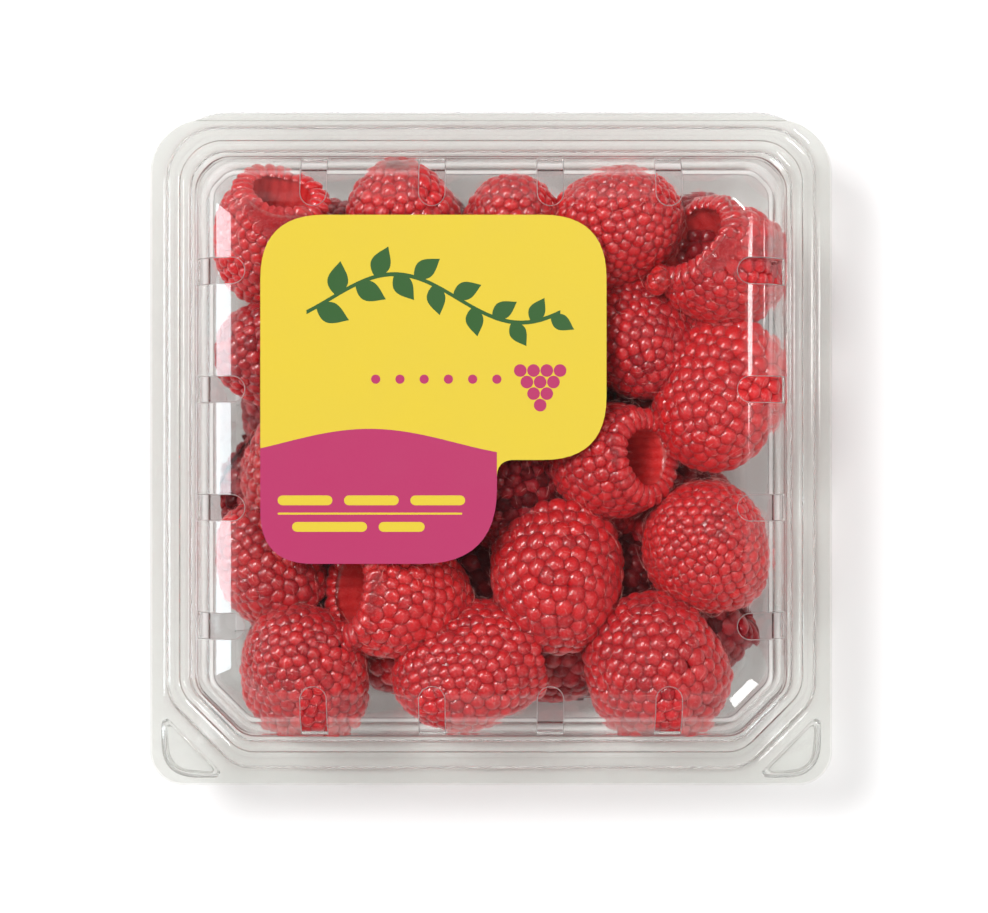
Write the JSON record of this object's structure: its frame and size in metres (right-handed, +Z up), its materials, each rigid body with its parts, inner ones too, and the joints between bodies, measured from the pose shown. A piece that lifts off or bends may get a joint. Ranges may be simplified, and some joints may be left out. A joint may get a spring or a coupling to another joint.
{
  "type": "punnet of raspberries",
  "caption": "Shut clear plastic clamshell punnet full of ripe raspberries, with vents along every edge, a hinged lid and a plain printed label on the lid.",
  "frame": {"origin": "centre of the pack's outline, on the plane that the tray's foot ring stands on", "axes": "+Z up, +Y towards the hinge at the back, +X to the right seen from the front"},
  "size_m": [0.12, 0.1184, 0.0397],
  "materials": {
    "clear_tray": "clear thin moulded plastic, glossy",
    "clear_lid": "clear thin moulded plastic, glossy",
    "raspberry": "moist red fruit flesh with a soft bloom",
    "label_print": "glossy printed film, yellow over pink"
  },
  "bodies": {
    "tray": {"tray": "clear_tray", "berries": "raspberry"},
    "lid": {"lid": "clear_lid", "label": "label_print"}
  },
  "joints": [
    {"name": "lid_hinge", "type": "hinge", "parent": "tray", "child": "lid", "pos_m": [0, 0.0587, 0.029], "axis": [-1, 0, 0], "range_deg": [0, 180]}
  ]
}
